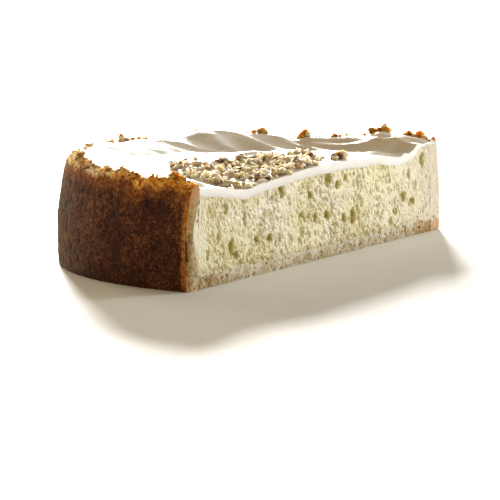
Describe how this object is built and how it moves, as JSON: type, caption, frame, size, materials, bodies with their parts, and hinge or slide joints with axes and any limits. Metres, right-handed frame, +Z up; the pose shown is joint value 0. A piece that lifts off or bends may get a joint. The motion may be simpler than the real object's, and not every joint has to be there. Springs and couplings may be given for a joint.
{
  "type": "baked cheesecake half",
  "caption": "Half of a round baked cheesecake: crumb crust base and wall, porous cheese filling on the cut face, sour-cream topping with chopped nuts.",
  "frame": {"origin": "centre of the half cake's bounding box at its base", "axes": "+X along the cut, +Y from the cut face towards the round side, +Z up"},
  "size_m": [0.2538, 0.1214, 0.0525],
  "materials": {
    "crumb_crust": "baked biscuit crumb, dry and rough, brown outside and paler where cut",
    "cheese_filling": "baked cheese custard, pale yellow and porous, slightly moist",
    "sour_cream": "set sour cream, white and satin, with chopped nuts pressed in"
  },
  "bodies": {
    "root": {"crumb_crust": "crumb_crust", "cheese_filling": "cheese_filling", "sour_cream_topping": "sour_cream"}
  },
  "joints": []
}
